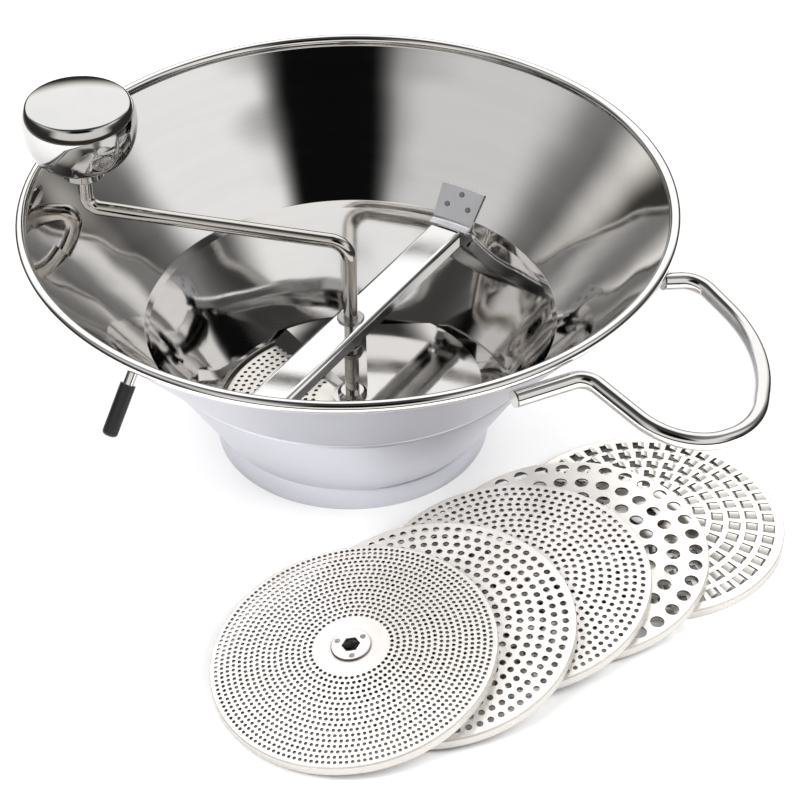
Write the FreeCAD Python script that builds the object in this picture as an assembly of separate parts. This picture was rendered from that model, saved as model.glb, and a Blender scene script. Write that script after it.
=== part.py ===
import FreeCAD
import Part
import math
import os

# Rotary food mill with one mounted disc and five loose discs.
# Millimetres. Z is up. The origin is on the crank shaft's axis, on the
# plane that the mill's base ring stands on.

V = FreeCAD.Vector
UP = V(0, 0, 1)
ORIGIN = V(0, 0, 0)

# ---- driving dimensions ----
SHEET = 1.0                 # bowl sheet
RIM_RADIUS = 155.0          # outside of the rolled rim
BEAD_RADIUS = 2.8           # tube of the rolled rim
RIM_HEIGHT = 131.4          # top of the rolled rim
BASE_RADIUS = 66.3          # outside of the base ring
SEAT_RADIUS = 61.5          # bore of the ledge that carries the disc
SEAT_HEIGHT = 6.5           # top of that ledge

DISC_RADIUS = 64.5          # every disc
DISC_SHEET = 0.8
DISC_SKIRT = 4.5            # depth of the turned-down edge
DISC_RISE = 4.5             # height of the middle over the edge
DISC_FLAT = 18.0            # radius of the flat middle
DISC_HUB_RADIUS = 9.0
DISC_HUB_SHEET = 1.2
HEX_FLATS = 7.0             # hexagonal hole across its flats

SHAFT_RADIUS = 3.5          # crank rod
RUNNING_GAP = 0.08          # radial gap of the turning fits
BAR_AZIMUTH = 57.0          # direction of the crossbar
BAR_TOP = 64.4
BAR_WIDTH = 17.7
BAR_DEPTH = 7.3
BAR_SHEET = 1.2
BAR_REACH = 88.0            # end of the full channel
TAB_REACH = 95.0            # end of the narrow tab under the bracket
TAB_WIDTH = 12.0
TAB_TOP = 62.5
BRACKET_LIP = 91.0           # inner radius of the lip over the tab

ARM_AZIMUTH = 164.0         # direction of the crank arm
ARM_HEIGHT = 108.0
ARM_REACH = 130.6           # shaft axis to knob axis
KNOB_BOTTOM = 132.5
KNOB_HEIGHT = 37.0
KNOB_RADIUS = 27.5

BLADE_SHEET = 1.0
BLADE_RADIUS = 63.5
BLADE_HIGH = 24.0           # top of the high half
BLADE_LOW = 18.6            # top of the low wing
BLADE_STEP_X = 8.5          # where the high half starts

HANDLE_AZIMUTH = -33.0
HANDLE_RADIUS = 4.0
HOOK_AZIMUTHS = {"front": -130.0, "back": 64.0}
HOOK_ROD = 2.5
SLEEVE_RADIUS = 3.55

os.makedirs("parts", exist_ok=True)


# ---- helpers ----
def polar(radius, azimuth, z=0.0):
    """A point from its radius, azimuth in degrees and height."""
    angle = math.radians(azimuth)
    return V(radius * math.cos(angle), radius * math.sin(angle), z)


def polygon_face(points):
    """A flat face from a closed ring of points."""
    return Part.Face(Part.makePolygon(points + [points[0]]))


def revolved(profile, angle=360.0, start=0.0):
    """Turn a closed (radius, height) outline about the Z axis."""
    face = polygon_face([V(r, 0, z) for r, z in profile])
    solid = face.revolve(ORIGIN, UP, angle)
    solid.rotate(ORIGIN, UP, start)
    return solid


def prism(points, z_bottom, z_top):
    """Extrude a flat (x, y) outline between two heights."""
    face = polygon_face([V(x, y, z_bottom) for x, y in points])
    return face.extrude(V(0, 0, z_top - z_bottom))


def sheet_facet(points, thickness):
    """A flat facet given by its top corners, thickened downwards."""
    return polygon_face(points).extrude(V(0, 0, -thickness))


def ring(outer, inner, z_bottom, z_top):
    """A plain ring about the Z axis."""
    height = z_top - z_bottom
    outside = Part.makeCylinder(outer, height, V(0, 0, z_bottom))
    inside = Part.makeCylinder(inner, height, V(0, 0, z_bottom))
    return outside.cut(inside)


def bent_wire(corners, bends):
    """Straight lines joined by tangent arcs at the inner corners."""
    edges = []
    start = corners[0]
    for i in range(1, len(corners) - 1):
        corner = corners[i]
        back = (corners[i - 1] - corner).normalize()
        ahead = (corners[i + 1] - corner).normalize()
        half = back.getAngle(ahead) / 2.0
        reach = bends[i - 1] / math.tan(half)
        first = corner + back * reach
        last = corner + ahead * reach
        bisector = (back + ahead).normalize()
        centre = corner + bisector * (bends[i - 1] / math.sin(half))
        middle = centre - bisector * bends[i - 1]
        if (first - start).Length > 0.01:
            edges.append(Part.LineSegment(start, first).toShape())
        edges.append(Part.Arc(first, middle, last).toShape())
        start = last
    edges.append(Part.LineSegment(start, corners[-1]).toShape())
    return Part.Wire(edges)


def bent_rod(corners, bends, radius):
    """A round rod along a bent wire."""
    path = bent_wire(corners, bends)
    direction = corners[1] - corners[0]
    circle = Part.makeCircle(radius, corners[0], direction)
    return path.makePipeShell([Part.Wire([circle])], True, True)


def hexagon_prism(flats, z_bottom, z_top):
    """A hexagonal prism about the Z axis."""
    corner = flats / math.sqrt(3.0)
    points = []
    for i in range(6):
        p = polar(corner, 60.0 * i)
        points.append((p.x, p.y))
    return prism(points, z_bottom, z_top)


def save(shape, name):
    """Write one piece to its own file."""
    shape.exportStep("parts/" + name + ".step")


# ---- bowl: base ring, lower cone, shoulder, upper cone and rolled rim ----
bead_centre = V(RIM_RADIUS - BEAD_RADIUS, 0, RIM_HEIGHT - BEAD_RADIUS)
wall = [
    (BASE_RADIUS, 0.0),
    (66.9, 12.2),
    (67.8, 13.6),
    (97.6, 62.4),
    (99.6, 65.6),
    (153.6, 127.3),
]


def offset_line(points, distance):
    """Shift an open (radius, height) line sideways, with mitred corners."""
    moved = []
    for i in range(len(points)):
        before = points[max(i - 1, 0)]
        here = points[i]
        after = points[min(i + 1, len(points) - 1)]
        normals = []
        for a, b in ((before, here), (here, after)):
            run = math.hypot(b[0] - a[0], b[1] - a[1])
            if run > 0:
                normals.append((-(b[1] - a[1]) / run, (b[0] - a[0]) / run))
        nx = sum(n[0] for n in normals) / len(normals)
        nz = sum(n[1] for n in normals) / len(normals)
        scale = distance / (nx * nx + nz * nz)
        moved.append((here[0] + nx * scale, here[1] + nz * scale))
    return moved


inside_wall = offset_line(wall, SHEET)
inside_wall[0] = (BASE_RADIUS - SHEET, 0.0)
seat = [
    (65.63, SEAT_HEIGHT),
    (SEAT_RADIUS, SEAT_HEIGHT),
    (SEAT_RADIUS, SEAT_HEIGHT - 1.1),
    (65.57, SEAT_HEIGHT - 1.1),
]
inner_down = inside_wall[:0:-1] + seat + [inside_wall[0]]
bead = Part.makeTorus(bead_centre.x, BEAD_RADIUS, V(0, 0, bead_centre.z))
bowl = revolved(wall + inner_down).fuse(bead).removeSplitter()
bowl = bowl.Solids[0]
save(bowl, "bowl")

hollow_outline = [(0, 0)] + [inside_wall[0]] + inside_wall[1:]
hollow_outline = hollow_outline + [(inside_wall[-1][0], 140.0), (0, 140.0)]
bowl_hollow = revolved(hollow_outline)

# ---- loop handle: one bent rod welded under the rim ----
handle_corners = [
    (133.6, -78.9),
    (152.1, -47.3),
    (205.0, -58.4),
    (223.2, -20.4),
    (204.8, 27.0),
    (160.0, 44.7),
    (148.0, 31.3),
]
handle_bends = [9.8, 32.0, 35.0, 64.5, 12.5]
handle_points = []
for a, p in handle_corners:
    z = 120.6 - 0.25 * max(a - 148.0, 0.0)
    handle_points.append(V(a, p, z))
handle = bent_rod(handle_points, handle_bends, HANDLE_RADIUS)
for start in (-29.0, 10.5):
    weld = Part.makeTorus(153.7, 2.2, V(0, 0, 124.6), UP, 0, 360, 6.0)
    weld.rotate(ORIGIN, UP, start)
    handle = handle.fuse(weld)
handle.rotate(ORIGIN, UP, HANDLE_AZIMUTH)
handle = handle.cut(bowl).cut(bowl_hollow)
save(handle.Solids[0], "loop_handle")

# ---- two rest hooks with sleeves, which grip the rim of a pot ----
hook_start = V(149.5, 0, 120.0)
hook_way = V(0.588, 0, -0.809).normalize()
for side, azimuth in HOOK_AZIMUTHS.items():
    root = hook_start - hook_way * 1.37
    rod = Part.makeCylinder(HOOK_ROD, 28.0, root, hook_way)
    sleeve_root = hook_start + hook_way * 4.5
    sleeve = Part.makeCylinder(SLEEVE_RADIUS, 24.2, sleeve_root, hook_way)
    tip = sleeve_root + hook_way * 24.2
    tip_edge = [e for e in sleeve.Edges if e.isClosed()]
    tip_edge.sort(key=lambda e: (e.CenterOfMass - tip).Length)
    sleeve = sleeve.makeFillet(1.8, tip_edge[:1])
    sleeve = sleeve.cut(rod)
    rod = rod.cut(bowl).cut(bowl_hollow)
    rod.rotate(ORIGIN, UP, azimuth)
    sleeve.rotate(ORIGIN, UP, azimuth)
    save(rod.Solids[0], "rest_hook_" + side)
    save(sleeve.Solids[0], "hook_sleeve_" + side)

# ---- two brackets spot welded inside the bowl, each with a lip ----
slope = V(wall[5][0] - wall[4][0], 0, wall[5][1] - wall[4][1]).normalize()
foot = inside_wall[4]
inward = V(-slope.z, 0, slope.x)


def on_wall(along, off):
    """A point on the upper cone's inner side, as (radius, height)."""
    p = V(foot[0], 0, foot[1]) + slope * along + inward * off
    return (p.x, p.z)


bracket_outline = [
    on_wall(0.3, 0.0),
    on_wall(14.6, 0.0),
    on_wall(14.6, 1.2),
    on_wall(1.0, 1.2),
    (BRACKET_LIP, 64.1),
    (BRACKET_LIP, 62.9),
]
bracket_turn = 13.0
for side, azimuth in (("back", BAR_AZIMUTH), ("front", BAR_AZIMUTH + 180.0)):
    first = azimuth - bracket_turn / 2.0
    bracket = revolved(bracket_outline, bracket_turn, first)
    save(bracket, "bar_bracket_" + side)

# ---- crossbar: an upturned channel with a narrow tab at each end ----
half = BAR_WIDTH / 2.0
top_plate = prism([(-BAR_REACH, -half), (BAR_REACH, -half),
                   (BAR_REACH, half), (-BAR_REACH, half)],
                  BAR_TOP - BAR_SHEET, BAR_TOP)
block = prism([(-BAR_REACH, -half), (BAR_REACH, -half),
               (BAR_REACH, half), (-BAR_REACH, half)],
              BAR_TOP - BAR_DEPTH, BAR_TOP)
long_edges = [e for e in block.Edges
              if abs(e.CenterOfMass.z - BAR_TOP) < 0.01
              and e.Length > BAR_REACH]
block = block.makeFillet(2.2, long_edges)
inner_half = half - BAR_SHEET
channel_room = prism([(-100, -inner_half), (100, -inner_half),
                      (100, inner_half), (-100, inner_half)],
                     BAR_TOP - BAR_DEPTH - 5.0, BAR_TOP - BAR_SHEET)
room_edges = [e for e in channel_room.Edges
              if abs(e.CenterOfMass.z - BAR_TOP + BAR_SHEET) < 0.01
              and e.Length > BAR_REACH]
channel_room = channel_room.makeFillet(1.0, room_edges)
crossbar = block.cut(channel_room)
tab_half = TAB_WIDTH / 2.0
for way in (-1, 1):
    tab = polygon_face([
        V(way * (BAR_REACH - 2.0), -tab_half, BAR_TOP),
        V(way * BAR_REACH, -tab_half, BAR_TOP),
        V(way * (BAR_REACH + 2.2), -tab_half, TAB_TOP),
        V(way * TAB_REACH, -tab_half, TAB_TOP),
        V(way * TAB_REACH, -tab_half, TAB_TOP - BAR_SHEET),
        V(way * (BAR_REACH + 1.6), -tab_half, TAB_TOP - BAR_SHEET),
        V(way * (BAR_REACH - 0.6), -tab_half, BAR_TOP - BAR_SHEET),
        V(way * (BAR_REACH - 2.0), -tab_half, BAR_TOP - BAR_SHEET),
    ])
    crossbar = crossbar.fuse(tab.extrude(V(0, TAB_WIDTH, 0)))
bush_hole = Part.makeCylinder(5.0, 20.0, V(0, 0, BAR_TOP - 10.0))
crossbar = crossbar.cut(bush_hole).removeSplitter()
crossbar.rotate(ORIGIN, UP, BAR_AZIMUTH)
save(crossbar.Solids[0], "crossbar")

# ---- bush in the crossbar ----
bore = SHAFT_RADIUS + RUNNING_GAP
bush = revolved([
    (bore, BAR_TOP - BAR_SHEET - 0.6),
    (5.0, BAR_TOP - BAR_SHEET - 0.6),
    (5.0, BAR_TOP),
    (6.6, BAR_TOP),
    (6.6, BAR_TOP + 0.6),
    (6.2, BAR_TOP + 1.0),
    (bore, BAR_TOP + 1.0),
])
save(bush, "bar_bush")

# ---- pressure spring, its seat and the collar that carries them ----
SPRING_WIRE = 0.6
SPRING_RADIUS = 4.5
spring_bottom = 46.5
spring_top = BAR_TOP - BAR_SHEET - 0.6 - SPRING_WIRE
spring_height = spring_top - spring_bottom
spring_turns = 6.0
helix = Part.makeHelix(spring_height / spring_turns, spring_height,
                       SPRING_RADIUS)
start_circle = Part.makeCircle(SPRING_WIRE, V(SPRING_RADIUS, 0, 0), V(0, 1, 0))
spring = Part.Wire(helix).makePipeShell([Part.Wire([start_circle])],
                                        True, True)
spring.translate(V(0, 0, spring_bottom))
save(spring, "pressure_spring")
save(ring(5.9, bore, 44.7, 45.8), "spring_seat")
collar = revolved([(SHAFT_RADIUS, 42.6), (4.7, 42.6), (5.2, 43.1),
                   (5.2, 44.4), (SHAFT_RADIUS, 44.4)])
save(collar, "shaft_collar")

# ---- crank rod: shaft, arm and stub in one bent rod ----
arm = polar(1.0, ARM_AZIMUTH)
rod_corners = [
    V(0, 0, 17.2),
    V(0, 0, ARM_HEIGHT),
    arm * ARM_REACH + V(0, 0, ARM_HEIGHT),
    arm * ARM_REACH + V(0, 0, 150.0),
]
rod = bent_rod(rod_corners, [9.0, 7.0], SHAFT_RADIUS)
pilot = revolved([(0, 12.5), (2.4, 12.5), (3.0, 13.1), (3.0, 17.2),
                  (0, 17.2)])
crank_rod = rod.fuse(pilot).removeSplitter()
save(crank_rod.Solids[0], "crank_rod")

# ---- knob: a spun shell on a neck, free on the crank's stub ----
knob_axis = arm * ARM_REACH
quarter = []
knob_steps = 14
for i in range(knob_steps + 1):
    t = math.pi * i / knob_steps - math.pi / 2.0
    wide, tall = (0.60, 0.84) if t > 0 else (0.72, 0.92)
    r = KNOB_RADIUS * abs(math.cos(t)) ** wide
    up = abs(math.sin(t)) ** tall * (1 if t > 0 else -1)
    z = KNOB_BOTTOM + KNOB_HEIGHT * (0.5 + 0.5 * up)
    quarter.append(V(r, 0, z))
quarter[0] = V(0, 0, KNOB_BOTTOM)
quarter[-1] = V(0, 0, KNOB_BOTTOM + KNOB_HEIGHT)
skin = Part.BSplineCurve()
skin.interpolate(Points=quarter, InitialTangent=V(1, 0, 0),
                 FinalTangent=V(-1, 0, 0))
closing = Part.LineSegment(quarter[-1], quarter[0]).toShape()
knob_face = Part.Face(Part.Wire([skin.toShape(), closing]))
knob = knob_face.revolve(ORIGIN, UP, 360)
stub_bore = Part.makeCylinder(bore, 26.0, V(0, 0, 125.0))
neck = revolved([(0, 126.0), (8.6, 126.0), (10.2, 127.4), (10.2, 131.2),
                 (11.4, 134.6), (0, 134.6)])
neck = neck.cut(knob).cut(stub_bore)
knob = knob.cut(stub_bore)
knob.translate(knob_axis)
neck.translate(knob_axis)
save(knob.Solids[0], "knob_shell")
save(neck.Solids[0], "knob_neck")

# ---- blade: a high half, a step, a low wing and its scraping lip ----
chord = math.sqrt(BLADE_RADIUS ** 2 - BLADE_STEP_X ** 2)
reach = Part.makeCylinder(BLADE_RADIUS, 60.0)
high = prism([(BLADE_STEP_X, -chord), (70, -chord), (70, 49.5),
              (BLADE_STEP_X, 49.5)],
             BLADE_HIGH - BLADE_SHEET, BLADE_HIGH)
step = prism([(BLADE_STEP_X - BLADE_SHEET, -20.0), (BLADE_STEP_X, -20.0),
              (BLADE_STEP_X, 49.5), (BLADE_STEP_X - BLADE_SHEET, 49.5)],
             BLADE_LOW - BLADE_SHEET, BLADE_HIGH)
crease_out = V(-34.0, 56.9, BLADE_LOW)
crease_in = V(-4.5, 9.5, BLADE_LOW)
wing = prism([(BLADE_STEP_X - BLADE_SHEET, -8.0),
              (BLADE_STEP_X - BLADE_SHEET, 70.0),
              (-42.2, 70.0), (crease_out.x, crease_out.y),
              (crease_in.x, crease_in.y), (-4.5, -8.0)],
             BLADE_LOW - BLADE_SHEET, BLADE_LOW)
eye = Part.makeCylinder(9.7, BLADE_SHEET, V(0, 0, BLADE_LOW - BLADE_SHEET))
eye = eye.common(prism([(-12, -12), (BLADE_STEP_X - BLADE_SHEET, -12),
                        (BLADE_STEP_X - BLADE_SHEET, 12), (-12, 12)],
                       0, 40))
down = V(-0.847, -0.532, -0.602)
lip_out = crease_out + down * 9.0
lip_in = crease_in + down * 2.3
lip = sheet_facet([crease_in, crease_out, lip_out, lip_in], BLADE_SHEET)
blade = high.fuse([step, wing, eye, lip]).common(reach)
swept_by_disc = revolved([(0, 11.0), (66.0, 11.0), (63.5, 11.4),
                          (18.3, 15.9), (0, 15.9)])
blade = blade.cut(swept_by_disc)
shaft_hole = Part.makeCylinder(SHAFT_RADIUS, 80.0)
blade = blade.cut(shaft_hole).removeSplitter()
save(blade.Solids[0], "blade")
blade_hub = revolved([(SHAFT_RADIUS, BLADE_LOW), (7.2, BLADE_LOW),
                      (7.2, BLADE_LOW + 1.4), (5.6, BLADE_LOW + 2.6),
                      (SHAFT_RADIUS, BLADE_LOW + 2.6)])
save(blade_hub, "blade_hub")


# ---- discs: a coned plate with a turned-down edge, and a hub plate ----
def disc_plate():
    """Plate of one disc, its edge's top at height 0."""
    edge = 1.0
    outline = [
        (DISC_RADIUS, -DISC_SKIRT),
        (DISC_RADIUS, -edge),
        (DISC_RADIUS - 0.3, -0.3),
        (DISC_RADIUS - edge, 0.0),
        (DISC_FLAT, DISC_RISE),
        (0.0, DISC_RISE),
        (0.0, DISC_RISE - DISC_SHEET),
        (DISC_FLAT - 0.1, DISC_RISE - DISC_SHEET),
        (DISC_RADIUS - edge - 0.1, -DISC_SHEET),
        (DISC_RADIUS - DISC_SHEET, -edge - 0.3),
        (DISC_RADIUS - DISC_SHEET, -DISC_SKIRT),
    ]
    plate = revolved(outline)
    return plate.cut(hexagon_prism(HEX_FLATS, 0.0, 10.0))


def disc_hub():
    """Hub plate of one disc, welded on the plate's flat middle."""
    low = DISC_RISE
    high_side = DISC_RISE + DISC_HUB_SHEET
    outline = [
        (0.0, low),
        (DISC_HUB_RADIUS, low),
        (DISC_HUB_RADIUS, high_side - 0.5),
        (DISC_HUB_RADIUS - 0.5, high_side),
        (0.0, high_side),
    ]
    return revolved(outline).cut(hexagon_prism(HEX_FLATS, 0.0, 10.0))


def place(shape, x, y, z, tilt, azimuth):
    """Tilt a disc so that its axis leans to an azimuth, and move it."""
    shape.rotate(ORIGIN, UP, -azimuth)
    shape.rotate(ORIGIN, V(0, 1, 0), tilt)
    shape.rotate(ORIGIN, UP, azimuth)
    shape.translate(V(x, y, z))
    return shape


mounted_edge = SEAT_HEIGHT + DISC_SKIRT
save(place(disc_plate(), 0, 0, mounted_edge, 0, 0), "mounted_disc")
save(place(disc_hub(), 0, 0, mounted_edge, 0, 0), "mounted_disc_hub")

# centre x and y, tilt, and the azimuth that the disc's axis leans to; the
# grating disc lies flat and each of the others leans on the one before it
loose_discs = {
    "grating_disc": (136.9, -86.3, 0.0, 0.0),
    "coarse_disc": (97.8, -115.5, 5.0, -132.0),
    "small_hole_disc": (69.3, -136.3, 7.4, -140.0),
    "medium_disc": (33.0, -167.3, 9.0, -131.0),
    "fine_disc": (-2.5, -183.2, 10.3, -146.0),
}
for name, (x, y, tilt, azimuth) in loose_discs.items():
    lean = math.radians(tilt)
    z = DISC_RADIUS * math.sin(lean) + DISC_SKIRT * math.cos(lean)
    save(place(disc_plate(), x, y, z, tilt, azimuth), name)
    save(place(disc_hub(), x, y, z, tilt, azimuth), name + "_hub")
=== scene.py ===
import bpy
import bmesh
import math
from mathutils import Matrix, Vector
from mathutils.geometry import delaunay_2d_cdt


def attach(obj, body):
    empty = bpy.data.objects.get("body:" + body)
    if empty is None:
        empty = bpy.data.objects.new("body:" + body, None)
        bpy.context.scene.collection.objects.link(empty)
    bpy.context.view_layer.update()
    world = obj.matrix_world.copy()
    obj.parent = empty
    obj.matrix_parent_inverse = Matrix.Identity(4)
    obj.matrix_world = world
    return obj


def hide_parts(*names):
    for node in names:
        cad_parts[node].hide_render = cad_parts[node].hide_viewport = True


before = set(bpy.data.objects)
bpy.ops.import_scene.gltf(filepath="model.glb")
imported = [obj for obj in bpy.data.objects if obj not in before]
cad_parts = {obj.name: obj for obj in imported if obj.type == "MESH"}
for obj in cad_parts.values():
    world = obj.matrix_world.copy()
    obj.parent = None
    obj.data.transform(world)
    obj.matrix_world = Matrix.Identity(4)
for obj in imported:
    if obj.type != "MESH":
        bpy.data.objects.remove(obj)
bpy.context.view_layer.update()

# Looks of a rotary food mill and its five loose discs, around the packed
# model. Shapes are worked out in millimetres and stored in metres.
MM = 0.001
TAU = 2.0 * math.pi

# ---------------------------------------------------------------- node tools


class Tree:
    """Short calls for building one node tree."""

    def __init__(self, tree):
        self.tree = tree
        tree.nodes.clear()

    def put(self, value, socket):
        if isinstance(value, bpy.types.NodeSocket):
            self.tree.links.new(value, socket)
        else:
            socket.default_value = value

    def node(self, kind, inputs=(), **settings):
        node = self.tree.nodes.new(kind)
        for key, value in settings.items():
            setattr(node, key, value)
        for key, value in dict(inputs).items():
            self.put(value, node.inputs[key])
        return node

    def math(self, operation, *values):
        node = self.node("ShaderNodeMath", operation=operation)
        for i, value in enumerate(values):
            self.put(value, node.inputs[i])
        return node.outputs[0]

    def vector(self, operation, *values):
        node = self.node("ShaderNodeVectorMath", operation=operation)
        for i, value in enumerate(values):
            self.put(value, node.inputs[i])
        last = 1 if operation in ("DOT_PRODUCT", "LENGTH") else 0
        return node.outputs[last]

    def ramp(self, value, low, high, to_low=0.0, to_high=1.0, smooth=True):
        node = self.node("ShaderNodeMapRange", {
            "Value": value, "From Min": low, "From Max": high,
            "To Min": to_low, "To Max": to_high})
        node.interpolation_type = "SMOOTHSTEP" if smooth else "LINEAR"
        return node.outputs[0]

    def mix_colour(self, factor, first, second):
        node = self.node("ShaderNodeMix", data_type="RGBA")
        self.put(factor, node.inputs[0])
        self.put(first, node.inputs[6])
        self.put(second, node.inputs[7])
        return node.outputs[2]

    def noise(self, vector, scale, detail=2.0, roughness=0.5):
        return self.node("ShaderNodeTexNoise", {
            "Vector": vector, "Scale": scale, "Detail": detail,
            "Roughness": roughness}).outputs[0]


def rgb(r, g, b):
    return (r, g, b, 1.0)


# ---------------------------------------------------------------- materials
def cylinder_coordinates(t):
    """Radius, angle and height of the shaded point, and the point itself."""
    place = t.node("ShaderNodeTexCoord").outputs["Object"]
    split = t.node("ShaderNodeSeparateXYZ", {"Vector": place}).outputs
    flat = t.node("ShaderNodeCombineXYZ", {"X": split[0], "Y": split[1]})
    radius = t.vector("LENGTH", flat.outputs[0])
    angle = t.math("ARCTAN2", split[1], split[0])
    return radius, angle, split[2], place


def metal(t, colour, rough, bump_height, bump_strength, coarse, spin=0.0,
          tangent=None, bare=1.0, under=None):
    """One metal shader, its colour and roughness broken up by noise."""
    bump = t.node("ShaderNodeBump", {
        "Height": bump_height, "Strength": bump_strength,
        "Distance": 0.0002})
    if under is not None:
        t.put(under, bump.inputs["Normal"])
    darker = tuple(c * 0.90 for c in colour[:3]) + (1.0,)
    shade = t.mix_colour(coarse, darker, colour)
    low, high = rough
    roughness = t.ramp(coarse, 0.3, 0.7, low, high, smooth=False)
    shader = t.node("ShaderNodeBsdfPrincipled", {
        "Base Color": shade, "Metallic": bare, "Roughness": roughness,
        "Normal": bump.outputs[0]})
    shader.inputs["Anisotropic"].default_value = spin
    if tangent is not None:
        t.put(tangent, shader.inputs["Tangent"])
    return shader


def finish_material(t, shader):
    out = t.node("ShaderNodeOutputMaterial")
    t.tree.links.new(shader.outputs[0], out.inputs["Surface"])


def new_material(name):
    material = bpy.data.materials.new(name)
    material.use_nodes = True
    return material, Tree(material.node_tree)


def bowl_material():
    """Bright spun steel inside, softer satin outside, polished rim."""
    material, t = new_material("bowl_spun_steel")
    radius, angle, height, place = cylinder_coordinates(t)
    rings = t.node("ShaderNodeCombineXYZ", {
        "X": t.math("MULTIPLY", radius, 1400.0),
        "Y": t.math("MULTIPLY", angle, 0.6),
        "Z": t.math("MULTIPLY", height, 1400.0)}).outputs[0]
    lines = t.noise(rings, 1.0, 4.0, 0.7)
    broad_rings = t.node("ShaderNodeCombineXYZ", {
        "X": t.math("MULTIPLY", radius, 160.0),
        "Y": t.math("MULTIPLY", angle, 0.8),
        "Z": t.math("MULTIPLY", height, 160.0)}).outputs[0]
    broad = t.noise(broad_rings, 1.0, 2.0, 0.5)
    tangent = t.node("ShaderNodeTangent", direction_type="RADIAL",
                     axis="Z").outputs[0]
    slow = t.node("ShaderNodeCombineXYZ", {
        "X": t.math("MULTIPLY", radius, 20.0),
        "Y": t.math("MULTIPLY", angle, 1.3),
        "Z": t.math("MULTIPLY", height, 20.0)}).outputs[0]
    wavy = t.node("ShaderNodeBump", {
        "Height": t.noise(slow, 1.0, 1.0, 0.4), "Strength": 1.0,
        "Distance": 0.0015}).outputs[0]
    inner = metal(t, rgb(0.84, 0.825, 0.81), (0.040, 0.065), lines, 0.02,
                  broad, 0.2, tangent, under=wavy)
    outer = metal(t, rgb(0.70, 0.70, 0.755), (0.33, 0.37), lines, 0.06,
                  broad, 0.45, tangent)
    geometry = t.node("ShaderNodeNewGeometry")
    split = t.node("ShaderNodeSeparateXYZ", {"Vector": place}).outputs
    away = t.vector("NORMALIZE", t.node("ShaderNodeCombineXYZ", {
        "X": split[0], "Y": split[1]}).outputs[0])
    facing = t.vector("DOT_PRODUCT", away, geometry.outputs["Normal"])
    outside = t.ramp(facing, 0.15, 0.25)
    below_rim = t.ramp(height, 0.1252, 0.1262, 1.0, 0.0)
    mask = t.math("MULTIPLY", outside, below_rim)
    mixed = t.node("ShaderNodeMixShader", {0: mask})
    t.tree.links.new(inner.outputs[0], mixed.inputs[1])
    t.tree.links.new(outer.outputs[0], mixed.inputs[2])
    finish_material(t, mixed)
    return material


def plain_metal(name, colour, rough, line_scale, bump, stretch=(1, 1, 1),
                spin=0.0, bare=1.0):
    """Metal with fine drawn or brushed lines in object space."""
    material, t = new_material(name)
    place = t.node("ShaderNodeTexCoord").outputs["Object"]
    stretched = t.vector("MULTIPLY", place, stretch)
    lines = t.noise(stretched, line_scale, 4.0, 0.65)
    coarse = t.noise(place, 60.0, 3.0, 0.5)
    finish_material(t, metal(t, rgb(*colour), rough, lines, bump, coarse,
                             spin, bare=bare))
    return material


def sleeve_material():
    material, t = new_material("sleeve_satin_plastic")
    place = t.node("ShaderNodeTexCoord").outputs["Object"]
    grain = t.noise(place, 900.0, 3.0, 0.6)
    coarse = t.noise(place, 70.0, 2.0, 0.5)
    bump = t.node("ShaderNodeBump", {
        "Height": grain, "Strength": 0.15, "Distance": 0.0001})
    shade = t.mix_colour(coarse, rgb(0.004, 0.004, 0.005),
                         rgb(0.010, 0.010, 0.011))
    shader = t.node("ShaderNodeBsdfPrincipled", {
        "Base Color": shade,
        "Roughness": t.ramp(coarse, 0.3, 0.7, 0.28, 0.42),
        "Normal": bump.outputs[0]})
    finish_material(t, shader)
    return material


def sheet_with_painted_shade(name, colour, bare):
    """Bright on the upward face, with painted shade darkening the hole walls, cut
    edges and underside.
    """
    material, t = new_material(name)
    coordinates = t.node("ShaderNodeTexCoord")
    place = coordinates.outputs["Object"]
    lines = t.noise(place, 650.0, 4.0, 0.65)
    coarse = t.noise(place, 60.0, 3.0, 0.5)
    face = metal(t, rgb(*colour), (0.20, 0.28), lines, 0.04, coarse,
                 bare=bare)
    # A dark, rougher copy of the metal: painted shade for the hole walls, cut
    # edges and underside.
    edge = metal(t, rgb(0.10, 0.085, 0.07), (0.30, 0.45), lines, 0.04,
                 coarse, bare=0.8)
    # Upward normals get the bright face and all others the painted shade; the rim
    # skirt gets only part of the painted shade.
    upward = t.node("ShaderNodeSeparateXYZ", {
        "Vector": coordinates.outputs["Normal"]}).outputs[2]
    mask = t.ramp(upward, 0.60, 0.93)
    rim = t.node("ShaderNodeAttribute", attribute_name="own_radius")
    skirt = t.ramp(rim.outputs["Fac"], 0.0622, 0.0626, 0.0, 0.62)
    mask = t.math("MAXIMUM", mask, skirt)
    mixed = t.node("ShaderNodeMixShader", {0: mask})
    t.tree.links.new(edge.outputs[0], mixed.inputs[1])
    t.tree.links.new(face.outputs[0], mixed.inputs[2])
    finish_material(t, mixed)
    return material


BOWL = bowl_material()
ROD = plain_metal("rod_polished_steel", (0.76, 0.75, 0.735), (0.06, 0.10),
                  700.0, 0.02)
CRANK = plain_metal("crank_polished_steel", (0.64, 0.61, 0.58), (0.07, 0.12),
                    700.0, 0.02)
BAR = plain_metal("bar_polished_sheet", (0.87, 0.87, 0.865), (0.10, 0.17),
                  500.0, 0.03)
KNOB = plain_metal("knob_mirror_steel", (0.63, 0.625, 0.62), (0.03, 0.06),
                   400.0, 0.012)
BRACKET = plain_metal("bracket_satin_sheet", (0.74, 0.74, 0.76),
                      (0.26, 0.36), 800.0, 0.10)
WELD = plain_metal("spot_weld_stain", (0.34, 0.33, 0.33), (0.30, 0.42),
                   900.0, 0.15)
STAIN = plain_metal("hub_weld_stain", (0.58, 0.55, 0.51), (0.30, 0.42),
                    900.0, 0.12)
BLADE = plain_metal("blade_polished_sheet", (0.66, 0.645, 0.63),
                    (0.05, 0.09), 500.0, 0.015)
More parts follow.
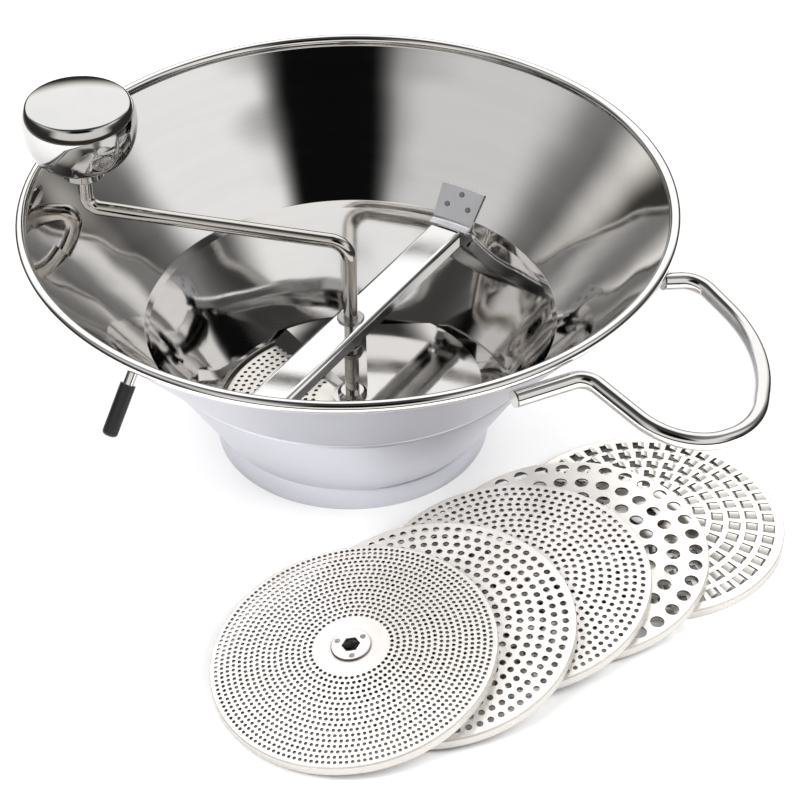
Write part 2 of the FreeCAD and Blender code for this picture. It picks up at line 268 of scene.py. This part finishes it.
DISC = sheet_with_painted_shade("disc_bright_sheet", (0.965, 0.93, 0.88), 0.56)
HUB = sheet_with_painted_shade("hub_bright_sheet", (0.97, 0.96, 0.945), 0.55)
DARK = plain_metal("drawn_dark_steel", (0.42, 0.41, 0.40), (0.22, 0.34),
                   600.0, 0.06)
SLEEVE = sleeve_material()


# ---------------------------------------------------------------- mesh tools
def mesh_piece(name, verts, faces, body, material, slot, nodes=(),
               sharp=32.0, place=None):
    """A closed mesh from millimetre points, riding on a body."""
    bm = bmesh.new()
    made = [bm.verts.new(Vector(v) * MM) for v in verts]
    for face in faces:
        try:
            bm.faces.new([made[i] for i in face])
        except ValueError:
            pass
    bmesh.ops.remove_doubles(bm, verts=bm.verts, dist=2e-6)
    bmesh.ops.dissolve_degenerate(bm, edges=bm.edges, dist=1e-6)
    bmesh.ops.recalc_face_normals(bm, faces=bm.faces)
    if place is not None:
        radii = bm.verts.layers.float.new("own_radius")
        for v in bm.verts:
            v[radii] = math.hypot(v.co.x, v.co.y)
        bmesh.ops.transform(bm, matrix=place, verts=bm.verts)
    mesh = bpy.data.meshes.new(name)
    bm.to_mesh(mesh)
    bm.free()
    for polygon in mesh.polygons:
        polygon.use_smooth = True
    mesh.set_sharp_from_angle(angle=math.radians(sharp))
    mesh.materials.append(material)
    obj = bpy.data.objects.new(name, mesh)
    bpy.context.scene.collection.objects.link(obj)
    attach(obj, body)
    if nodes:
        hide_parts(*nodes)
    return obj


def rounded(points, radii, steps=6, closed=True):
    """Round the corners of a flat outline that have a radius."""
    result = []
    count = len(points)
    for i, point in enumerate(points):
        radius = radii.get(i, 0.0)
        here = Vector(point)
        if radius <= 0.0 or (not closed and i in (0, count - 1)):
            result.append(tuple(here))
            continue
        back = (Vector(points[i - 1]) - here).normalized()
        ahead = (Vector(points[(i + 1) % count]) - here).normalized()
        half = back.angle(ahead) / 2.0
        reach = radius / math.tan(half)
        centre = here + (back + ahead).normalized() * (radius
                                                       / math.sin(half))
        first = here + back * reach - centre
        last = here + ahead * reach - centre
        for k in range(steps + 1):
            mixed = first.lerp(last, k / steps)
            result.append(tuple(centre + mixed.normalized() * radius))
    return result


def lathe(profile, steps, closed=True):
    """Turn a (radius, height) outline about the Z axis."""
    count = len(profile)
    verts = []
    faces = []
    for i in range(steps):
        c, s = math.cos(TAU * i / steps), math.sin(TAU * i / steps)
        verts += [(r * c, r * s, z) for r, z in profile]
    for i in range(steps):
        j = (i + 1) % steps
        for k in range(count if closed else count - 1):
            m = (k + 1) % count
            faces.append((i * count + k, j * count + k,
                          j * count + m, i * count + m))
    return verts, faces


def join(*parts):
    """Join several (verts, faces) pairs into one."""
    verts = []
    faces = []
    for more_verts, more_faces in parts:
        base = len(verts)
        verts += more_verts
        faces += [tuple(i + base for i in face) for face in more_faces]
    return verts, faces


def bent_path(corners, bends, degrees=3.0):
    """Points along straight runs joined by tangent arcs."""
    corners = [Vector(c) for c in corners]
    points = [corners[0]]
    for i in range(1, len(corners) - 1):
        corner = corners[i]
        back = (corners[i - 1] - corner).normalized()
        ahead = (corners[i + 1] - corner).normalized()
        half = back.angle(ahead) / 2.0
        reach = bends[i - 1] / math.tan(half)
        centre = corner + (back + ahead).normalized() * (
            bends[i - 1] / math.sin(half))
        first = corner + back * reach - centre
        last = corner + ahead * reach - centre
        turn = first.angle(last)
        steps = max(2, int(math.degrees(turn) / degrees))
        axis = first.cross(last).normalized()
        for k in range(steps + 1):
            spin = Matrix.Rotation(turn * k / steps, 3, axis)
            points.append(centre + spin @ first)
    points.append(corners[-1])
    return points


def tube(points, radius, sides=40, tip=0.8):
    """A round rod along points, its ends rounded by a small radius."""
    frames = []
    normal = None
    for i, point in enumerate(points):
        before = points[max(i - 1, 0)]
        after = points[min(i + 1, len(points) - 1)]
        way = (after - before).normalized()
        if normal is None:
            normal = way.orthogonal().normalized()
        normal = (normal - way * normal.dot(way)).normalized()
        frames.append((point, way, normal))
    first, last = frames[0], frames[-1]
    start = []
    end = []
    for k in range(4):
        a = math.pi / 2 * k / 4
        inset = tip * (1 - math.sin(a))
        shrink = radius - tip * (1 - math.cos(math.pi / 2 - a))
        start.append((first[0] + first[1] * inset, first[1], first[2],
                      shrink))
        end.append((last[0] - last[1] * inset, last[1], last[2], shrink))
    body = [(p, w, n, radius) for p, w, n in frames[1:-1]]
    body = [(first[0] + first[1] * tip, first[1], first[2], radius)] + body
    body.append((last[0] - last[1] * tip, last[1], last[2], radius))
    rows = start[::-1] + body + end
    verts = []
    for point, way, normal, r in rows:
        side = way.cross(normal)
        for j in range(sides):
            a = TAU * j / sides
            verts.append(point + normal * (r * math.cos(a))
                         + side * (r * math.sin(a)))
    faces = []
    for i in range(len(rows) - 1):
        for j in range(sides):
            m = (j + 1) % sides
            faces.append((i * sides + j, i * sides + m,
                          (i + 1) * sides + m, (i + 1) * sides + j))
    faces.append(tuple(range(sides))[::-1])
    faces.append(tuple(range((len(rows) - 1) * sides, len(rows) * sides)))
    return verts, faces


def about_z(azimuth):
    return Matrix.Rotation(math.radians(azimuth), 4, "Z")


# ---------------------------------------------------------------- bowl
def bowl_outline():
    """The spun sheet's outline with its grooves, shoulder and bead."""
    bead_r, bead_z, bead = 152.2, 128.6, 2.8
    outer = [(66.3, 0.0), (66.9, 11.8), (66.75, 12.7), (67.9, 14.0),
             (97.2, 61.7), (97.9, 63.3), (97.75, 64.1), (99.75, 65.9)]
    outer = rounded(outer, {1: 0.5, 2: 0.4, 3: 1.0, 4: 1.5, 5: 0.5, 6: 0.4,
                            7: 1.0}, 4, closed=False)
    outer = outer[:-1] + [(99.75, 65.9)]
    way = Vector((54.0, 61.7)).normalized()
    out_side = Vector((way.y, -way.x))

    def meets(point):
        """Where a line up the wall meets the bead's circle."""
        gap = Vector(point) - Vector((bead_r, bead_z))
        along = -gap.dot(way)
        off = (gap + way * along).length
        return Vector(point) + way * (along - math.sqrt(
            bead * bead - off * off))

    outer_end = meets((99.6, 65.6))
    inner_end = meets(Vector((99.6, 65.6)) - out_side)
    centre = Vector((bead_r, bead_z))
    a0 = math.atan2(outer_end.y - bead_z, outer_end.x - bead_r)
    a1 = math.atan2(inner_end.y - bead_z, inner_end.x - bead_r)
    while a1 <= a0:
        a1 += TAU
    bead_arc = []
    for k in range(33):
        a = a0 + (a1 - a0) * k / 32
        bead_arc.append((centre.x + bead * math.cos(a),
                         centre.y + bead * math.sin(a)))
    inner = [(98.85, 66.55), (96.9, 63.1), (66.85, 14.0), (65.9, 12.3),
             (65.65, 6.5)]
    inner = rounded([tuple(inner_end)] + inner,
                    {1: 3.0, 2: 3.0, 3: 3.0, 4: 1.5}, 5, closed=False)
    seat = [(61.7, 6.5), (61.5, 6.3), (61.5, 5.6), (61.7, 5.4),
            (65.57, 5.4), (65.3, 0.3), (65.5, 0.0), (66.1, 0.0)]
    return [(66.3, 0.25)] + outer[1:] + bead_arc + inner[1:] + seat


verts, faces = lathe(bowl_outline(), 360)
mesh_piece("bowl_spun", verts, faces, "mill", BOWL, "bowl_steel", ["bowl"],
           sharp=50.0)

# ---------------------------------------------------------------- loop handle
HANDLE_CORNERS = [(133.6, -78.9), (152.1, -47.3), (205.0, -58.4),
                  (223.2, -20.4), (204.8, 27.0), (160.0, 44.7),
                  (148.4, 31.7)]
HANDLE_BENDS = [9.8, 32.0, 35.0, 64.5, 12.5]
HANDLE_AZIMUTH = -33.0
HANDLE_RADIUS = 4.0
CRANK_RADIUS = 3.5
handle_points = [(a, p, 120.6 - 0.25 * max(a - 148.0, 0.0))
                 for a, p in HANDLE_CORNERS]
verts, faces = tube(bent_path(handle_points, HANDLE_BENDS),
                    HANDLE_RADIUS, 48, 0.9)
mesh_piece("loop_handle_rod", verts, faces, "mill", ROD, "polished_steel",
           ["loop_handle"], place=about_z(HANDLE_AZIMUTH))

# ---------------------------------------------------------------- crank rod
ARM_AZIMUTH = 164.0
ARM_REACH = 130.6
ARM_HEIGHT = 108.0
arm_x = ARM_REACH * math.cos(math.radians(ARM_AZIMUTH))
arm_y = ARM_REACH * math.sin(math.radians(ARM_AZIMUTH))
verts, faces = tube(bent_path(
    [(0, 0, 12.5), (0, 0, ARM_HEIGHT), (arm_x, arm_y, ARM_HEIGHT),
     (arm_x, arm_y, 150.0)], [9.0, 7.0]), CRANK_RADIUS, 40, 0.5)
mesh_piece("crank_rod_bent", verts, faces, "crank", CRANK, "polished_steel",
           ["crank_rod"])

# ---------------------------------------------------------------- knob
# A nearly flat cap, a tight corner, a tall side and a rounded underside.
KNOB_R = 27.5
KNOB_LOW = 132.5
KNOB_WAIST = 157.0
CAP_TILT = math.radians(14)
CORNER_TILT = math.radians(58)
CAP_EDGE = 23.55
SIDE_RADIUS = 16.0
CORNER_RADIUS = 2.5
knob_outline = [(3.58, KNOB_LOW)]
for k in range(2, 29):
    turn = math.pi / 2 * (k / 28 - 1)
    knob_outline.append((KNOB_R * math.cos(turn) ** 0.62,
                         KNOB_WAIST - (KNOB_WAIST - KNOB_LOW)
                         * abs(math.sin(turn)) ** 0.92))


def knob_arc(start, radius, tilt_from, tilt_to, steps):
    """Points up an arc whose surface tilts from one angle to another."""
    points = []
    for k in range(1, steps + 1):
        tilt = tilt_from + (tilt_to - tilt_from) * k / steps
        points.append((
            start[0] + radius * (math.sin(tilt) - math.sin(tilt_from)),
            start[1] + radius * (math.cos(tilt) - math.cos(tilt_from))))
    return points


knob_outline += knob_arc(knob_outline[-1], SIDE_RADIUS, math.pi / 2,
                         CORNER_TILT, 10)
knob_outline += knob_arc(knob_outline[-1], CORNER_RADIUS, CORNER_TILT,
                         CAP_TILT, 8)
knob_outline += knob_arc(knob_outline[-1], CAP_EDGE / math.sin(CAP_TILT),
                         CAP_TILT, math.radians(0.4), 12)
knob_outline.append((0.0, knob_outline[-1][1]))
knob_outline.append((0.0, knob_outline[-1][1] - 1.5))
knob_outline.append((3.58, 150.5))
verts, faces = lathe(knob_outline, 128)
knob_place = Matrix.Translation((arm_x * MM, arm_y * MM, 0))
mesh_piece("knob_spun_shell", verts, faces, "knob", KNOB, "polished_steel",
           ["knob_shell"], sharp=60.0, place=knob_place)


# ---------------------------------------------------------------- discs
DISC_R = 64.5
EDGE_R = 63.5
FLAT_R = 18.0
RISE = 4.5
SHEET = 0.8
HOLED_OUT = 62.9            # the perforated cone's outer and inner radii
HOLED_IN = 16.9
HUB_R = 9.0
HEX_HALF = 3.5              # half the hexagonal hole across its flats


def cone_height(radius):
    """Height of a disc's top over its edge."""
    if radius <= FLAT_R:
        return RISE
    return RISE * (EDGE_R - radius) / (EDGE_R - FLAT_R)


def ring_of_holes(first, last, rings, pitch, hole, phase=0.5):
    """Centres of round holes in rings, each turned against the last."""
    centres = []
    for k in range(rings):
        radius = first + (last - first) * k / max(rings - 1, 1)
        count = int(round(TAU * radius / pitch))
        for i in range(count):
            a = TAU * (i + phase * (k % 2)) / count + 0.37 * k
            centres.append((radius * math.cos(a), radius * math.sin(a)))
    return centres


def perforated(outlines, outer=HOLED_OUT, inner=HOLED_IN):
    """A coned sheet between two radii, with holes of given outlines."""
    points = []
    edges = []
    owner = []
    edge_loop, middle_loop, no_loop = -1, -2, -9

    def add_loop(loop, name):
        base = len(points)
        for i, p in enumerate(loop):
            points.append(Vector(p))
            owner.append(name)
            edges.append((base + i, base + (i + 1) % len(loop)))

    def circle(radius, count):
        return [(radius * math.cos(TAU * i / count),
                 radius * math.sin(TAU * i / count)) for i in range(count)]

    add_loop(circle(outer, 240), edge_loop)
    add_loop(circle(inner, 96), middle_loop)
    for n, loop in enumerate(outlines):
        add_loop(loop, n)
    made, _, triangles, origins, _, _ = delaunay_2d_cdt(
        points, edges, [], 0, 1e-5)
    name_of = [owner[o[0]] if o else no_loop for o in origins]
    keep = []
    for face in triangles:
        names = {name_of[i] for i in face}
        if len(names) == 1 and not names & {edge_loop, no_loop}:
            continue
        keep.append(tuple(face))
    verts = []
    for p in made:
        verts.append((p.x, p.y, cone_height(p.length)))
    top_count = len(verts)
    for p in made:
        verts.append((p.x, p.y, cone_height(p.length) - SHEET))
    faces = list(keep)
    used = {}
    for a, b, c in keep:
        for pair in ((a, b), (b, c), (c, a)):
            key = (min(pair), max(pair))
            used[key] = used.get(key, 0) + 1
        faces.append((c + top_count, b + top_count, a + top_count))
    for (a, b), times in used.items():
        if times == 1 and name_of[a] >= 0:
            faces.append((a, b, b + top_count, a + top_count))
    return verts, faces


def disc_edges(outer=HOLED_OUT, inner=HOLED_IN):
    """The rolled edge, the skirt and the flat middle of a disc."""
    edge = [(outer, cone_height(outer)), (63.45, 0.02)]
    for k in range(1, 7):
        a = math.pi / 2 * (1 - k / 6)
        edge.append((63.5 + math.cos(a), -1.0 + math.sin(a)))
    edge += [(DISC_R, -4.3), (DISC_R - 0.2, -4.5), (DISC_R - 0.6, -4.5),
             (DISC_R - 0.8, -4.3), (DISC_R - 0.8, -1.4), (63.4, -0.85),
             (outer, cone_height(outer) - SHEET)]
    middle = [(inner, cone_height(inner) - SHEET), (4.2, RISE - SHEET),
              (4.2, RISE), (inner, cone_height(inner))]
    return join(lathe(edge, 240, False), lathe(middle, 96, False))


def round_outlines(centres, radius, sides):
    loops = []
    for x, y in centres:
        loops.append([(x + radius * math.cos(TAU * k / sides),
                       y + radius * math.sin(TAU * k / sides))
                      for k in range(sides)])
    return loops


CUT_RINGS = 5
CUT_PITCH = 8.05
CUT_HALF = 2.75             # half of a cut's width, along the radius
CUT_START = -2.2            # where a cut begins and ends, along its ring
CUT_END = 3.4
TONGUE_SHARE = 0.80         # a tongue's width as a share of its cut's
TONGUE_SHEET = 0.7
TONGUE_RUN = [(CUT_START, 0.0), (-1.2, 0.85), (-0.1, 1.4), (0.9, 1.58)]
CONE_SLOPE = 0.099


def grating():
    """Square cuts in rings, each with a tongue bent up over it."""
    loops = []
    tongues = ([], [])
    for k in range(CUT_RINGS):
        radius = 57.2 - 8.1 * k
        count = int(round(TAU * radius / CUT_PITCH))
        for i in range(count):
            a = TAU * (i + 0.5 * (k % 2)) / count + 0.11 * k
            out = Vector((math.cos(a), math.sin(a)))
            side = Vector((-out.y, out.x))
            mid = out * radius
            cut = [mid + out * (CUT_HALF * u) + side * v
                   for u, v in ((-1, CUT_START), (1, CUT_START),
                                (1, CUT_END), (-1, CUT_END))]
            loops.append([tuple(p) for p in cut])
            base = []
            top = cone_height(radius)
            for v, up in TONGUE_RUN:
                for u in (-1, 1):
                    for thick in (0.0, -TONGUE_SHEET):
                        p = (mid + out * (CUT_HALF * TONGUE_SHARE * u)
                             + side * v)
                        base.append((p.x, p.y, top + up + thick
                                     - (p.length - radius) * CONE_SLOPE))
            quads = []
            for s in range(len(TONGUE_RUN) - 1):
                c, n = s * 4, s * 4 + 4
                quads += [(c, c + 2, n + 2, n), (c + 1, n + 1, n + 3, c + 3),
                          (c, n, n + 1, c + 1), (c + 2, c + 3, n + 3, n + 2)]
            quads += [(0, 1, 3, 2),
                      (len(base) - 4, len(base) - 2, len(base) - 1,
                       len(base) - 3)]
            tongues = join(tongues, (base, quads))
    return loops, tongues


def hub_plate():
    """Round plate with a hexagonal hole; its three spot weld marks are a separate
    piece.
    """
    sides = 72
    rows = []
    for kind, z in (("hex", RISE), ("out", RISE), ("out", RISE + 0.8),
                    ("in", RISE + 1.2), ("hexin", RISE + 1.2),
                    ("hex", RISE + 0.95)):
        row = []
        for k in range(sides):
            a = TAU * k / sides
            c, s = math.cos(a), math.sin(a)
            if kind == "out":
                r = HUB_R
            elif kind == "in":
                r = HUB_R - 0.4
            else:
                turned = (a % (math.pi / 3)) - math.pi / 6
                r = HEX_HALF / math.cos(turned)
                if kind == "hexin":
                    r += 0.25
            row.append((r * c, r * s, z))
        rows.append(row)
    verts = [v for row in rows for v in row]
    faces = []
    for i in range(len(rows)):
        n = (i + 1) % len(rows)
        for k in range(sides):
            m = (k + 1) % sides
            faces.append((i * sides + k, i * sides + m,
                          n * sides + m, n * sides + k))
    return verts, faces


def weld_marks(radius, angles, z, size=1.25):
    """Shallow rings that spot welding leaves."""
    profile = [(0.0, 0.05), (size * 0.55, 0.08), (size * 0.8, 0.16),
               (size, 0.10), (size * 1.05, -0.05), (0.0, -0.05)]
    parts = []
    for angle in angles:
        a = math.radians(angle)
        verts, faces = lathe(profile, 24)
        shift = Vector((radius * math.cos(a), radius * math.sin(a), z))
        parts.append(([Vector(v) + shift for v in verts], faces))
    return join(*parts)


def disc_place(x, y, tilt, azimuth):
    lean = math.radians(tilt)
    z = DISC_R * math.sin(lean) + 4.5 * math.cos(lean)
    return (Matrix.Translation(Vector((x, y, z)) * MM) @ about_z(azimuth)
            @ Matrix.Rotation(lean, 4, "Y") @ about_z(-azimuth))


FINE = (18.2, 61.4, 17, 2.6, 0.86, 12)
DISCS = {
    "mounted_disc": (None, (19.4, 60.6, 12, 3.85, 1.0, 16)),
    "fine_disc": ((-2.5, -183.2, 10.3, -146.0), FINE),
    "medium_disc": ((33.0, -167.3, 9.0, -131.0),
                    (19.3, 59.5, 9, 5.1, 1.5, 18)),
    "small_hole_disc": ((69.3, -136.3, 7.4, -140.0),
                        (18.9, 60.6, 12, 3.95, 1.12, 14)),
    "coarse_disc": ((97.8, -115.5, 5.0, -132.0),
                    (27.2, 58.4, 4, 10.2, 3.25, 28)),
    "grating_disc": ((136.9, -86.3, 0.0, 0.0), None),
}
for name, (pose, holes) in DISCS.items():
    if pose is None:
        where = Matrix.Translation((0, 0, 11.0 * MM))
        body = "mill"
    else:
        where = disc_place(*pose)
        body = name + "_loose"
    if holes is None:
        loops, extra = grating()
        plate = join(perforated(loops), extra, disc_edges())
    else:
        first, last, rings, pitch, radius, sides = holes
        centres = ring_of_holes(first, last, rings, pitch, radius)
        plate = join(perforated(round_outlines(centres, radius, sides)),
                     disc_edges())
    mesh_piece(name + "_plate", *plate, body, DISC, "disc_steel", [name],
               sharp=34.0, place=where)
    mesh_piece(name + "_hub_plate", *hub_plate(), body, HUB, "hub_steel",
               [name + "_hub"], place=where)
    mesh_piece(name + "_hub_welds", *weld_marks(6.6, (33, 153, 273),
               RISE + 1.2), body, STAIN, "hub_steel", place=where)

# ---------------------------------------------------------------- carried over
looks = {
    "rest_hook_front": ROD, "rest_hook_back": ROD,
    "hook_sleeve_front": SLEEVE, "hook_sleeve_back": SLEEVE,
    "crossbar": BAR, "bar_bush": DARK, "pressure_spring": DARK,
    "spring_seat": DARK, "shaft_collar": DARK, "knob_neck": KNOB,
    "blade": BLADE, "blade_hub": BLADE,
}
for node, material in looks.items():
    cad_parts[node].data.materials[0] = material

# Each bracket is one bent sheet: a plate on the wall and a rounded lip.
BRACKET_WALL = Vector((54.0, 61.7)).normalized()
BRACKET_IN = Vector((-BRACKET_WALL.y, BRACKET_WALL.x))
BRACKET_FOOT = Vector((98.85, 66.25))


def bracket_sheet(azimuth):
    """The bent outline swept through the bracket's width."""
    top = BRACKET_FOOT + BRACKET_WALL * 14.6
    outline = [tuple(top), tuple(top + BRACKET_IN * 1.15), (95.5, 64.1),
               (91.0, 64.1), (91.0, 62.95), (95.96, 62.95)]
    outline = rounded(outline, {0: 0.35, 1: 0.5, 2: 3.4, 3: 0.5, 4: 0.4,
                                5: 2.2}, 8)
    steps = 16
    half = 6.5
    count = len(outline)
    verts = []
    for i in range(steps + 1):
        a = math.radians(azimuth - half + 2 * half * i / steps)
        verts += [(r * math.cos(a), r * math.sin(a), z)
                  for r, z in outline]
    faces = [tuple(range(count)),
             tuple(range(steps * count, (steps + 1) * count))[::-1]]
    for i in range(steps):
        for k in range(count):
            m = (k + 1) % count
            faces.append((i * count + k, (i + 1) * count + k,
                          (i + 1) * count + m, i * count + m))
    return verts, faces


for side, azimuth in (("back", 57.0), ("front", 237.0)):
    mesh_piece("bar_bracket_" + side + "_sheet", *bracket_sheet(azimuth),
               "mill", BRACKET, "bracket_steel", ["bar_bracket_" + side],
               sharp=40.0)

# Three spot welds hold each bracket to the bowl's wall.
for side, azimuth in (("back", 57.0), ("front", 237.0)):
    parts = []
    for radius, turn in ((106.8, 0.0), (102.6, -3.4), (102.6, 3.4)):
        along = (radius - 99.6) / BRACKET_WALL.x
        foot = Vector((99.6, 65.6)) + BRACKET_WALL * along + BRACKET_IN * 2.5
        tilt = Matrix.Rotation(-math.atan2(BRACKET_WALL.y, BRACKET_WALL.x), 4, "Y")
        dot_verts, dot_faces = weld_marks(0.0, (0.0,), 0.0, 1.3)
        spin = about_z(azimuth + turn)
        moved = [spin @ (Matrix.Translation((foot.x, 0, foot.y))
                         @ (tilt @ Vector(v))) for v in dot_verts]
        parts.append((moved, dot_faces))
    mesh_piece("bar_bracket_" + side + "_welds", *join(*parts), "mill",
               WELD, "bracket_steel")

# ---------------------------------------------------------------- stage
floor_mesh = bpy.data.meshes.new("floor")
FLOOR_RADIUS = 0.75
floor_mesh.from_pydata([(FLOOR_RADIUS * math.cos(TAU * k / 96),
                         FLOOR_RADIUS * math.sin(TAU * k / 96), 0.0)
                        for k in range(96)], [], [tuple(range(96))])
floor = bpy.data.objects.new("floor", floor_mesh)
bpy.context.scene.collection.objects.link(floor)
material, t = new_material("pale_floor")
place = t.node("ShaderNodeTexCoord").outputs["Object"]
cloud = t.noise(place, 3.0, 2.0, 0.5)
shade = t.mix_colour(cloud, rgb(0.86, 0.86, 0.86), rgb(0.88, 0.88, 0.88))
finish_material(t, t.node("ShaderNodeBsdfPrincipled", {
    "Base Color": shade, "Roughness": 0.9}))
floor_mesh.materials.append(material)

# World: a bright room above the knee, dim low down and at the far side,
# with a dark gap where a person would stand in front of the mill.
world = bpy.data.worlds.new("studio")
bpy.context.scene.world = world
world.use_nodes = True
t = Tree(world.node_tree)
ray = t.node("ShaderNodeTexCoord").outputs["Generated"]
split = t.node("ShaderNodeSeparateXYZ", {"Vector": ray}).outputs
up = split[2]
level = t.vector("NORMALIZE", t.node("ShaderNodeCombineXYZ", {
    "X": split[0], "Y": split[1]}).outputs[0])


def sine(degrees):
    return math.sin(math.radians(degrees))


def facing(azimuth, inner, outer):
    """1 near a compass direction, 0 away from it."""
    a = math.radians(azimuth)
    dot = t.vector("DOT_PRODUCT", level, (math.cos(a), math.sin(a), 0.0))
    return t.ramp(dot, math.cos(math.radians(outer)),
                  math.cos(math.radians(inner)))


def band(low0, low1, high1, high0):
    """1 between two elevations, fading out beyond them."""
    rise = t.ramp(up, sine(low0), sine(low1))
    fall = t.ramp(up, sine(high1), sine(high0), 1.0, 0.0)
    return t.math("MULTIPLY", rise, fall)


def blend(factor, first, second):
    """first where the factor is 0, second where it is 1."""
    gap = t.math("SUBTRACT", second, first)
    return t.math("ADD", first, t.math("MULTIPLY", factor, gap))


low_light = t.ramp(up, sine(-6), sine(-22), 0.04, 0.60)
wall_light = t.ramp(up, sine(8), sine(36), 0.0, 0.22)
side_top = t.ramp(up, sine(56), sine(70), 1.0, 0.10)
wall_light = t.math("MULTIPLY", wall_light, side_top)
right_box = t.math("MULTIPLY", facing(-25, 26, 44), band(20, 31, 44, 52))
left_box = t.math("MULTIPLY", facing(-150, 20, 46), band(22, 34, 46, 54))
front_low = t.math("MULTIPLY", facing(-83, 42, 66),
                   band(3, 8, 27, 32))
back_high = t.math("MULTIPLY", facing(95, 42, 66), band(7, 21, 66, 76))
front_gap = t.math("MULTIPLY", facing(-83, 18, 34), band(27, 33, 60, 74))
value = t.math("ADD", low_light, wall_light)
value = blend(right_box, value, 0.95)
value = blend(left_box, value, 0.70)
value = blend(front_low, value, 0.95)
value = blend(back_high, value, 1.35)
value = blend(front_gap, value, 0.004)
seen = t.node("ShaderNodeLightPath").outputs["Is Camera Ray"]
warmth = t.ramp(up, sine(2), sine(30), 1.0, 0.0)
tint = t.mix_colour(warmth, rgb(1, 1, 1), rgb(1.0, 0.94, 0.86))
room = t.node("ShaderNodeBackground", {"Color": tint, "Strength": value})
plain = t.node("ShaderNodeBackground", {"Color": rgb(1, 1, 1),
                                        "Strength": 1.0})
both = t.node("ShaderNodeMixShader", {0: seen})
t.tree.links.new(room.outputs[0], both.inputs[1])
t.tree.links.new(plain.outputs[0], both.inputs[2])
out = t.node("ShaderNodeOutputWorld")
t.tree.links.new(both.outputs[0], out.inputs["Surface"])


def area_light(name, place, target, size, power):
    light = bpy.data.lights.new(name, "AREA")
    light.shape = "SQUARE"
    light.size = size
    light.energy = power
    obj = bpy.data.objects.new(name, light)
    bpy.context.scene.collection.objects.link(obj)
    obj.location = place
    way = Vector(target) - Vector(place)
    obj.rotation_mode = "QUATERNION"
    obj.rotation_quaternion = way.to_track_quat("-Z", "Y")
    obj.visible_glossy = False


area_light("key", (-1.5, -1.0, 1.5), (0, -0.1, 0.0), 1.5, 60.0)
area_light("fill", (1.6, -0.5, 1.4), (0, -0.1, 0.0), 1.4, 50.0)

# ---------------------------------------------------------------- camera
PITCH = math.radians(37.80)
YAW = math.radians(1.21)
ROLL = math.radians(-0.58)
LENS = 127.6
CAMERA_PLACE = (0.0, -1.1012, 0.86825)
ahead = Vector((math.sin(YAW) * math.cos(PITCH),
                math.cos(YAW) * math.cos(PITCH), -math.sin(PITCH)))
right = Vector((math.cos(YAW), -math.sin(YAW), 0.0))
above = right.cross(ahead)
rolled_right = right * math.cos(ROLL) + above * math.sin(ROLL)
rolled_above = above * math.cos(ROLL) - right * math.sin(ROLL)
camera_data = bpy.data.cameras.new("camera")
camera_data.sensor_width = 36.0
camera_data.lens = LENS
camera = bpy.data.objects.new("camera", camera_data)
bpy.context.scene.collection.objects.link(camera)
turned = Matrix((rolled_right, rolled_above, -ahead)).transposed()
camera.matrix_world = (Matrix.Translation(CAMERA_PLACE)
                       @ turned.to_4x4())
bpy.context.scene.camera = camera
bpy.context.scene.view_settings.view_transform = "Standard"
